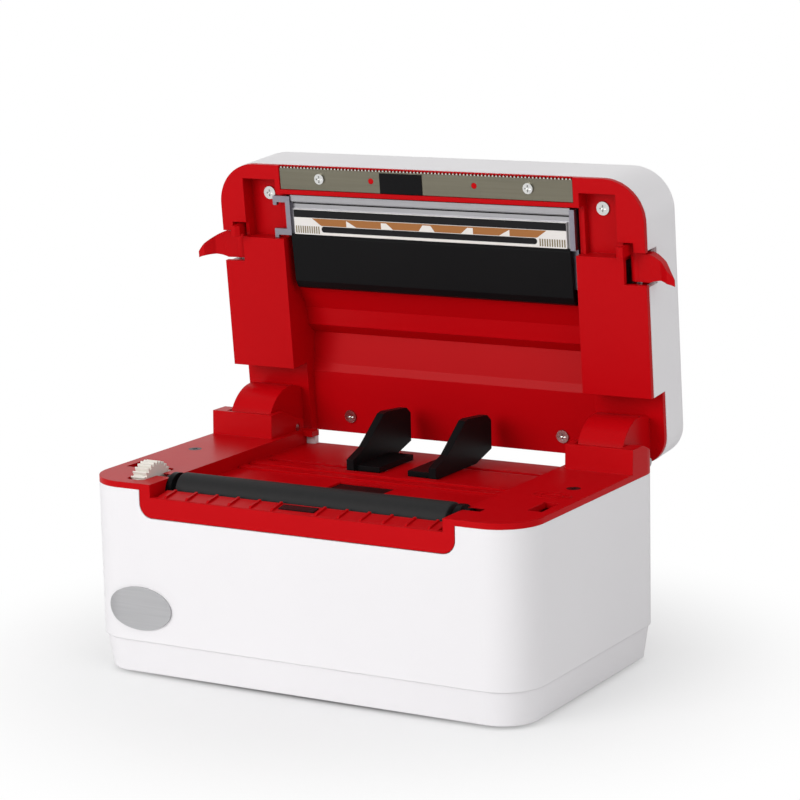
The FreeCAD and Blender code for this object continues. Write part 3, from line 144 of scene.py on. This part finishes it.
def plastic(name, look):
    shared = plasticShared
    material, shader, place = startMaterial(name)
    setAll(shader, {"IOR": shared["ior"], "Specular IOR Level": look["sheen"]})
    smudge = place.noise(place, Scale=shared["smudgeScale"], Detail=shared["smudgeDetail"],
                         Roughness=shared["smudgeRough"])
    grain = place.noise(place, Scale=look["grainScale"], Detail=shared["grainDetail"])
    feed(shader, "Base Color", mixColours(place, smudge, look["colour"], look["smudge"]))
    feed(shader, "Roughness", swing(smudge, look["rough"], shared["roughSpread"]))
    soft = place.make("ShaderNodeBevel", {"samples": shared["edgeSamples"]}, {"Radius": look["edge"] * mm})
    feed(shader, "Normal", place.bump(grain, look["grain"], Normal=soft))
    return material


# metals: stretched noise for the drawn or brushed direction
metalLook = {
    "steel": {"colour": (0.56, 0.56, 0.57), "dark": (0.44, 0.44, 0.45), "rough": 0.28,
              "stretch": (40.0, 900.0, 900.0)},
    "screw_steel": {"colour": (0.70, 0.70, 0.68), "dark": (0.56, 0.56, 0.55), "rough": 0.24,
                    "stretch": (300.0, 300.0, 300.0)},
    "spring_steel": {"colour": (0.20, 0.187, 0.142), "dark": (0.15, 0.14, 0.105), "rough": 0.34,
                     "stretch": (30.0, 1200.0, 1200.0)},
    "sink_metal": {"colour": (0.43, 0.425, 0.44), "dark": (0.34, 0.335, 0.35), "rough": 0.30,
                   "stretch": (20.0, 1100.0, 1100.0)},
    "badge_metal": {"colour": (0.60, 0.60, 0.61), "dark": (0.48, 0.48, 0.49), "rough": 0.36,
                    "stretch": (30.0, 1000.0, 1400.0)},
    "dark_metal": {"colour": (0.045, 0.045, 0.05), "dark": (0.03, 0.03, 0.033), "rough": 0.42,
                   "stretch": (400.0, 400.0, 400.0)},
    "hanger_metal": {"colour": (0.30, 0.29, 0.33), "dark": (0.23, 0.22, 0.26), "rough": 0.40,
                     "stretch": (300.0, 500.0, 500.0)},
}
metalShared = {"detail": 3.0, "roughSpread": 0.16, "bump": 0.05}


def stretchedNoise(place, stretch, detail):
    along = place.make("ShaderNodeMapping", None, {"Vector": place, "Scale": stretch})
    return place.noise(along, Scale=1.0, Detail=detail)


def metal(name, look):
    material, shader, place = startMaterial(name)
    setAll(shader, {"Metallic": 1.0})
    streak = stretchedNoise(place, look["stretch"], metalShared["detail"])
    feed(shader, "Base Color", mixColours(place, streak, look["dark"], look["colour"]))
    feed(shader, "Roughness", swing(streak, look["rough"], metalShared["roughSpread"]))
    feed(shader, "Normal", place.bump(streak, metalShared["bump"]))
    return material


# rubber: matt, ground with faint rings round the roller
rubberLook = {
    "roller_rubber": {"colour": (0.011, 0.011, 0.0115), "pale": (0.018, 0.018, 0.0185),
                      "stretch": (700.0, 60.0, 60.0)},
    "foot_rubber": {"colour": (0.022, 0.022, 0.022), "pale": (0.032, 0.032, 0.032),
                    "stretch": (300.0, 300.0, 300.0)},
}
rubberShared = {"sheen": 0.22, "detail": 2.0, "rough": 0.595, "roughSpread": 0.15, "bump": 0.10}


def rubber(name, look):
    material, shader, place = startMaterial(name)
    setAll(shader, {"Specular IOR Level": rubberShared["sheen"]})
    ring = stretchedNoise(place, look["stretch"], rubberShared["detail"])
    feed(shader, "Base Color", mixColours(place, ring, look["colour"], look["pale"]))
    feed(shader, "Roughness", swing(ring, rubberShared["rough"], rubberShared["roughSpread"]))
    feed(shader, "Normal", place.bump(ring, rubberShared["bump"]))
    return material


# circuit board: lacquer with paler copper runs under it
boardLook = {"lacquer": (0.015, 0.13, 0.05), "copper": (0.04, 0.24, 0.09), "runs": 260.0, "runWidth": 0.12,
             "rough": 0.3, "coat": 0.3}


def board(name, look):
    material, shader, place = startMaterial(name)
    cells = {"Vector": place, "Scale": look["runs"]}
    runs = place.make("ShaderNodeTexVoronoi", {"feature": "DISTANCE_TO_EDGE"}, cells)
    mask = runs.maths("LESS_THAN", runs, look["runWidth"])
    feed(shader, "Base Color", mixColours(place, mask, look["lacquer"], look["copper"]))
    setAll(shader, {"Roughness": look["rough"], "Coat Weight": look["coat"]})
    return material


# one even finish, set straight on the shader
def evenFinish(name, values):
    material, shader, place = startMaterial(name)
    setAll(shader, values)
    return material


pipeLook = {"Base Color": (0.85, 0.9, 0.88, 1.0), "Roughness": 0.12, "Transmission Weight": 0.9, "IOR": 1.49}
glazeSheen = 0.15


def flatPrint(name, colour, rough):
    return evenFinish(name, {"Base Color": (*colour, 1.0), "Roughness": rough, "Specular IOR Level": glazeSheen})


finish = {name: plastic(name, look) for name, look in plasticLook.items()}
finish.update({name: metal(name, look) for name, look in metalLook.items()})
finish.update({name: rubber(name, look) for name, look in rubberLook.items()})
finish["board"] = board("board", boardLook)
finish["light_pipe"] = evenFinish("light_pipe", pipeLook)
glaze = {
    "brown": flatPrint("head_brown", (0.36, 0.15, 0.045), 0.25),
    "black": flatPrint("head_black", (0.008, 0.008, 0.009), 0.2),
    "pale": flatPrint("head_pale", (0.78, 0.76, 0.72), 0.3),
    "lead": flatPrint("head_lead", (0.20, 0.165, 0.09), 0.35),
    # painted shade: flat black for the sheet that stands in for the shadow in the heat sink's rail groove
    "shadow": flatPrint("painted_shade_black", (0.006, 0.005, 0.005), 0.6),
}
for sub in frame["record"]["subparts"]:
    mesh = nodes[sub["node"]].data
    mesh.materials.clear()
    mesh.materials.append(finish[sub["material_slot"]])
print("finishes set:", len(finish))


def addPiece(name, body, mesh):
    piece = bpy.data.objects.new(name, mesh)
    bpy.context.scene.collection.objects.link(piece)
    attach(piece, body)
    return piece


# plain solids, placed in millimetres
def addMesh(name, body, material, build, turn=None):
    bm = bmesh.new()
    build(bm)
    if turn:
        bmesh.ops.transform(bm, matrix=turn, verts=bm.verts)
    bmesh.ops.recalc_face_normals(bm, faces=bm.faces)
    mesh = bpy.data.meshes.new(name)
    bm.to_mesh(mesh)
    bm.free()
    mesh.materials.append(material)
    return addPiece(name, body, mesh)


def slabs(*boxes):
    def build(bm):
        for low, high in boxes:
            size = Vector(high) - Vector(low)
            middle = (Vector(high) + Vector(low)) / 2
            place = Matrix.Translation(middle * mm) @ Matrix.Diagonal((*(size * mm), 1.0))
            bmesh.ops.create_cube(bm, size=1.0, matrix=place)
    return build


def joinLoops(bm, first, second):
    count = len(first)
    for here in range(count):
        after = (here + 1) % count
        bm.faces.new((first[here], first[after], second[after], second[here]))


# outlines swept straight, along x or z
def prisms(along, *solids):
    def build(bm):
        for outline, low, high in solids:
            ends = []
            for level in (low, high):
                points = [(level, a, b) if along == "x" else (a, b, level) for a, b in outline]
                ends.append([bm.verts.new(Vector(point) * mm) for point in points])
            first, second = ends
            bm.faces.new(first[::-1])
            bm.faces.new(second)
            joinLoops(bm, first, second)
    return build


ringSteps = 48


def rings(*rounds):
    def build(bm):
        for centre, radiusX, radiusY, band, height in rounds:
            loops = []
            for grow, lift in ((0.0, 0.0), (0.0, height), (band, height), (band, 0.0)):
                loop = []
                for step in range(ringSteps):
                    turn = 2 * math.pi * step / ringSteps
                    x = centre[0] + (radiusX - grow) * math.cos(turn)
                    y = centre[1] + (radiusY - grow) * math.sin(turn)
                    loop.append(bm.verts.new((x * mm, y * mm, (centre[2] + lift) * mm)))
                loops.append(loop)
            for first, second in zip(loops, loops[1:] + loops[:1]):
                joinLoops(bm, first, second)
    return build


# a row of equal bars along a line
def rowTree(name):
    tree = bpy.data.node_groups.new(name, "GeometryNodeTree")
    tree.interface.new_socket("Row", in_out="OUTPUT", socket_type="NodeSocketGeometry")
    kinds = {"Count": "NodeSocketInt", "Start": "NodeSocketVector", "Step": "NodeSocketVector",
             "Turn": "NodeSocketVector", "Size": "NodeSocketVector", "Finish": "NodeSocketMaterial"}
    for label, kind in kinds.items():
        tree.interface.new_socket(label, in_out="INPUT", socket_type=kind)
    into = tree.nodes.new("NodeGroupInput").outputs
    line = tree.nodes.new("GeometryNodeMeshLine")
    unit = tree.nodes.new("GeometryNodeMeshCube")
    unit.inputs["Size"].default_value = (1.0, 1.0, 1.0)
    turn = tree.nodes.new("FunctionNodeEulerToRotation")
    place = tree.nodes.new("GeometryNodeInstanceOnPoints")
    real = tree.nodes.new("GeometryNodeRealizeInstances")
    paint = tree.nodes.new("GeometryNodeSetMaterial")
    end = tree.nodes.new("NodeGroupOutput")
    pairs = [
        (into["Count"], line.inputs["Count"]), (into["Start"], line.inputs["Start Location"]),
        (into["Step"], line.inputs["Offset"]), (line.outputs["Mesh"], place.inputs["Points"]),
        (unit.outputs["Mesh"], place.inputs["Instance"]), (into["Turn"], turn.inputs["Euler"]),
        (turn.outputs["Rotation"], place.inputs["Rotation"]), (into["Size"], place.inputs["Scale"]),
        (place.outputs["Instances"], real.inputs["Geometry"]),
        (real.outputs["Geometry"], paint.inputs["Geometry"]),
        (into["Finish"], paint.inputs["Material"]), (paint.outputs["Geometry"], end.inputs["Row"]),
    ]
    for source, target in pairs:
        tree.links.new(source, target)
    return tree


barTree = rowTree("barRow")


def addRow(name, body, material, count, start, step, size, turn=(0.0, 0.0, 0.0)):
    holder = bpy.data.objects.new(name + "Holder", bpy.data.meshes.new(name + "Holder"))
    bpy.context.scene.collection.objects.link(holder)
    modifier = holder.modifiers.new("row", "NODES")
    modifier.node_group = barTree
    values = {"Count": count, "Start": [v * mm for v in start], "Step": [v * mm for v in step],
              "Turn": turn, "Size": [v * mm for v in size], "Finish": material}
    for item in barTree.interface.items_tree:
        if item.in_out == "INPUT":
            modifier[item.identifier] = values[item.name]
    holder.update_tag()
    ready = holder.evaluated_get(bpy.context.evaluated_depsgraph_get())
    mesh = bpy.data.meshes.new_from_object(ready)
    mesh.name = name
    bpy.data.objects.remove(holder)
    return addPiece(name, body, mesh)


def lidRow(name, body, material, count, start, step, size):
    begin = (lidTurn @ (Vector(start) * mm)) / mm
    return addRow(name, body, material, count, begin, step, size, lidLift.to_euler())


# print head face: bands of glaze on the ceramic, seen when the lid is up
headLow, headHigh = shutBox("head_ceramic")
headFace = {"z": headLow.z / mm, "thick": 0.06, "half": 46.0, "slant": 4.0, "end": headHigh.x / mm,
            "black": (-36.9, -34.0), "brown": (-33.8, -31.0), "band": (-30.8, -28.5), "line": (-28.2, -27.7)}
arcSteps = 8


def headPlate(outline):
    return outline, headFace["z"] - headFace["thick"], headFace["z"]


def headStrip(key, half, slant=0.0):
    low, high = headFace[key]
    return headPlate([(-half - slant, low), (half + slant, low), (half, high), (-half, high)])


def roundEnded(key, half):
    low, high = headFace[key]
    radius = (high - low) / 2
    turns = [math.pi * (step / arcSteps - 0.5) for step in range(arcSteps + 1)]
    right = [(half - radius + radius * math.cos(t), low + radius + radius * math.sin(t)) for t in turns]
    return headPlate(right + [(-x, y) for x, y in reversed(right)])


addMesh("headBands", "print_head", glaze["black"],
        prisms("z", headStrip("black", headFace["end"]), roundEnded("band", headFace["half"])), lidTurn)
addMesh("headBrown", "print_head", glaze["brown"],
        prisms("z", headStrip("brown", headFace["half"], headFace["slant"])), lidTurn)
addMesh("headLine", "print_head", glaze["pale"],
        prisms("z", headStrip("line", headFace["half"])), lidTurn)

# pale gaps along the brown strip: middle, foot left and right, top left and right; the outer ones are mirrored
gaps = {"foot": -31.0, "top": -33.3, "proud": 0.03,
        "shapes": ((0.0, -3.4, 3.4, -1.7, 1.7), (17.3, -2.8, 2.3, 0.0, 2.3), (33.0, -2.6, 1.8, 1.6, 1.8))}
gapOutlines = []
for centre, footLeft, footRight, topLeft, topRight in gaps["shapes"]:
    outline = [(centre + footLeft, gaps["foot"]), (centre + footRight, gaps["foot"]),
               (centre + topRight, gaps["top"]), (centre + topLeft, gaps["top"])]
    gapOutlines.append(outline)
    if centre:
        gapOutlines.append([(-x, y) for x, y in outline])
gapFace = headFace["z"] - headFace["thick"] - gaps["proud"]
addMesh("headTriangles", "print_head", glaze["pale"],
        prisms("z", *[(outline, gapFace, headFace["z"]) for outline in gapOutlines]), lidTurn)

# contact combs at both ends of the strip
contacts = {"count": 11, "pitch": 1.0, "width": 0.52, "low": -30.7, "high": -27.9, "start": 47.2, "thick": 0.08}
contactsMiddle = (contacts["low"] + contacts["high"]) / 2
for side, label in ((1, "Right"), (-1, "Left")):
    lidRow("headContacts" + label, "print_head", glaze["lead"], contacts["count"],
           (side * contacts["start"], contactsMiddle, headFace["z"]), (side * contacts["pitch"], 0, 0),
           (contacts["width"], contacts["high"] - contacts["low"], contacts["thick"]))

# painted shade: a thin black sheet laid in the recess between the heat sink's two rails, standing in for the
# shadow in that groove
railGrooveShade = {"half": 59.0, "low": -39.4, "high": -38.9, "above": 1.5}
grooveFace = headFace["z"] + railGrooveShade["above"]
addMesh("railGrooveShade", "print_head", glaze["shadow"],
        slabs(((-railGrooveShade["half"], railGrooveShade["low"], grooveFace - headFace["thick"]),
               (railGrooveShade["half"], railGrooveShade["high"], grooveFace))), lidTurn)
print("print head dressed")

# tear bar: a bright ground facet on each of its teeth
barLow, barHigh = (v / mm for v in shutBox("tear_bar"))
teeth = {"pitch": 1.5, "wide": 0.5, "deep": 0.45, "proud": 0.10}
toothCount = round((barHigh.x - barLow.x) / teeth["pitch"])
toothStep = (barHigh.x - barLow.x) / toothCount
lidRow("tearFacets", "lid", finish["screw_steel"], toothCount,
       (barLow.x + toothStep / 2, barLow.y + teeth["deep"], barLow.z), (toothStep, 0, 0),
       (teeth["wide"], teeth["deep"], teeth["proud"]))
print("tear bar ground:", toothCount, "teeth")

# tray floor: runners behind the roller and two low steps across
trayTop = 67.5
deckTop = 72.7


def rowStart(row):
    return -row["pitch"] * (row["count"] - 1) / 2


runners = {"count": 13, "pitch": 9.0, "front": -30.0, "rear": -22.4, "width": 1.1, "height": 0.7}
addRow("trayRunners", "base", finish["red_plastic"], runners["count"],
       (rowStart(runners), (runners["front"] + runners["rear"]) / 2, trayTop), (runners["pitch"], 0, 0),
       (runners["width"], runners["rear"] - runners["front"], runners["height"]))
stepLines = {"half": 59.0, "places": (2.0, 9.5), "width": 3.6, "height": 0.8, "sunk": 0.1}
stepSlabs = [((-stepLines["half"], y, trayTop - stepLines["sunk"]),
              (stepLines["half"], y + stepLines["width"], trayTop + stepLines["height"]))
             for y in stepLines["places"]]
addMesh("traySteps", "base", finish["red_plastic"], slabs(*stepSlabs))

# front ledge: a plate that climbs from the apron to the roller, with fins under the label and a sensor window
ledge = {"half": 57.8, "front": (-54.0, 68.0), "rear": (-46.3, 69.4),
         "under": ((-46.3, 68.2), (-47.2, 66.4), (-51.6, 67.9))}
addMesh("frontLedge", "base", finish["red_plastic"],
        prisms("x", ([ledge["front"], ledge["rear"], *ledge["under"]], -ledge["half"], ledge["half"])))
fins = {"count": 13, "pitch": 9.0, "width": 1.0,
        "outline": ((-53.7, 68.0), (-46.4, 69.3), (-46.4, 70.0), (-52.4, 69.0))}
finPlaces = [rowStart(fins) + fins["pitch"] * index for index in range(fins["count"])]
# the window takes the middle fin's place
finPlaces = [x for x in finPlaces if abs(x) > fins["pitch"] / 2]
addMesh("ledgeFins", "base", finish["red_plastic"],
        prisms("x", *[(fins["outline"], x - fins["width"] / 2, x + fins["width"] / 2) for x in finPlaces]))
window = {"size": (14.4, 3.6, 0.9), "centre": (0.0, -49.6, 68.8), "slope": math.radians(10.3)}
windowHalf = Vector(window["size"]) / 2
windowTurn = Matrix.Translation(Vector(window["centre"]) * mm) @ Matrix.Rotation(window["slope"], 4, "X")
addMesh("ledgeWindow", "base", glaze["black"], slabs((-windowHalf, windowHalf)), windowTurn)

# deck: two raised oval rings, one inside the other
deckRing = {"place": (78.0, -9.0), "outer": (7.5, 4.6), "inner": (4.6, 2.5), "band": 0.8, "height": 0.3,
            "sunk": 0.05}
ringCentre = (*deckRing["place"], deckTop - deckRing["sunk"])
addMesh("deckRing", "base", finish["red_plastic"],
        rings(*[(ringCentre, *deckRing[key], deckRing["band"], deckRing["height"]) for key in ("outer", "inner")]))
print("deck dressed")


# white sweep: lit near the part, plain white to the camera further off
floorLook = {"size": 8.0, "colour": (0.88, 0.88, 0.885), "near": 0.02, "far": 0.19, "rough": 0.7, "sheen": 0.1}
plainWhite = (1.0, 1.0, 1.0, 1.0)


def sweep(name, look):
    material, shader, place = startMaterial(name)
    setAll(shader, {"Base Color": (*look["colour"], 1.0), "Roughness": look["rough"],
                    "Specular IOR Level": look["sheen"]})
    distance = place.make("ShaderNodeVectorMath", {"operation": "LENGTH"}, {0: place}, out="Value")
    spread = {"Value": distance, "From Min": look["near"], "From Max": look["far"]}
    away = place.make("ShaderNodeMapRange", {"interpolation_type": "SMOOTHSTEP"}, spread)
    seen = place.make("ShaderNodeLightPath", out="Is Camera Ray")
    white = place.make("ShaderNodeEmission", None, {"Color": plainWhite, "Strength": 1.0})
    lit = Sock(place.tree, shader.outputs["BSDF"])
    both = place.make("ShaderNodeMixShader", None, {0: away * seen, 1: lit, 2: white})
    place.tree.links.new(both.socket, place.tree.nodes["Material Output"].inputs["Surface"])
    return material


bpy.ops.mesh.primitive_plane_add(size=floorLook["size"])
floor = bpy.context.object
floor.name = "floor"
floor.data.materials.append(sweep("floor_white", floorLook))

# sky: white to the camera, dimmer as light, and dimmer in front than behind for reflections
world = bpy.data.worlds.new("studio")
bpy.context.scene.world = world
world.use_nodes = True
tree = world.node_tree
tree.nodes.clear()
sky = {"seen": 1.0, "light": 0.5, "front": 0.35, "turnFrom": -0.3, "turnTo": 0.5}
rays = tree.nodes.new("ShaderNodeLightPath").outputs
seen = Sock(tree, rays["Is Camera Ray"]) + Sock(tree, rays["Is Transmission Ray"])
glossy = Sock(tree, rays["Is Glossy Ray"])
way = Sock(tree, tree.nodes.new("ShaderNodeTexCoord").outputs["Generated"])
depth = way.make("ShaderNodeSeparateXYZ", None, {"Vector": way}, out="Y")
behind = way.make("ShaderNodeMapRange", {"interpolation_type": "SMOOTHSTEP"},
                  {"Value": depth, "From Min": sky["turnFrom"], "From Max": sky["turnTo"],
                   "To Min": sky["front"], "To Max": sky["seen"]})
rest = (seen + glossy) * -1.0 + 1.0
strength = seen * sky["seen"] + glossy * behind + rest * sky["light"]
glow = way.make("ShaderNodeBackground", None, {"Color": plainWhite, "Strength": strength})
tree.links.new(glow.socket, tree.nodes.new("ShaderNodeOutputWorld").inputs["Surface"])

lampLook = {
    "keyLamp": {"place": (-0.55, -1.25, 0.62), "size": 0.9, "power": 11.5},
    "fillLamp": {"place": (1.1, -0.5, 0.8), "size": 1.0, "power": 4.0},
    "topLamp": {"place": (0.0, -0.1, 1.4), "size": 0.9, "power": 0.6},
}
lampTarget = Vector((0.0, 0.0, 0.08))
for name, look in lampLook.items():
    lamp = bpy.data.lights.new(name, "AREA")
    lamp.energy = look["power"]
    lamp.size = look["size"]
    lampObject = bpy.data.objects.new(name, lamp)
    lampObject.location = look["place"]
    lampObject.rotation_euler = (lampTarget - lampObject.location).to_track_quat("-Z", "Y").to_euler()
    bpy.context.scene.collection.objects.link(lampObject)

# camera at the photograph's place, with its small roll
cameraLook = {"place": (0.4984, -0.8287, 0.2879), "azimuth": 30.37, "elevation": 11.09, "roll": -1.29,
              "lens": 122.7, "sensor": 36.0}
az, el, roll = (math.radians(cameraLook[key]) for key in ("azimuth", "elevation", "roll"))
back = Vector((math.sin(az) * math.cos(el), -math.cos(az) * math.cos(el), math.sin(el)))
right = Vector((math.cos(az), math.sin(az), 0.0))
up = back.cross(right)
rightRolled = right * math.cos(roll) + up * math.sin(roll)
upRolled = up * math.cos(roll) - right * math.sin(roll)
camera = bpy.data.cameras.new("camera")
camera.lens = cameraLook["lens"]
camera.sensor_width = cameraLook["sensor"]
cameraObject = bpy.data.objects.new("camera", camera)
cameraTurn = Matrix((rightRolled, upRolled, back)).transposed().to_4x4()
cameraObject.matrix_world = Matrix.Translation(cameraLook["place"]) @ cameraTurn
bpy.context.scene.collection.objects.link(cameraObject)
bpy.context.scene.camera = cameraObject
bpy.context.scene.view_settings.view_transform = "Standard"
print("stage set")
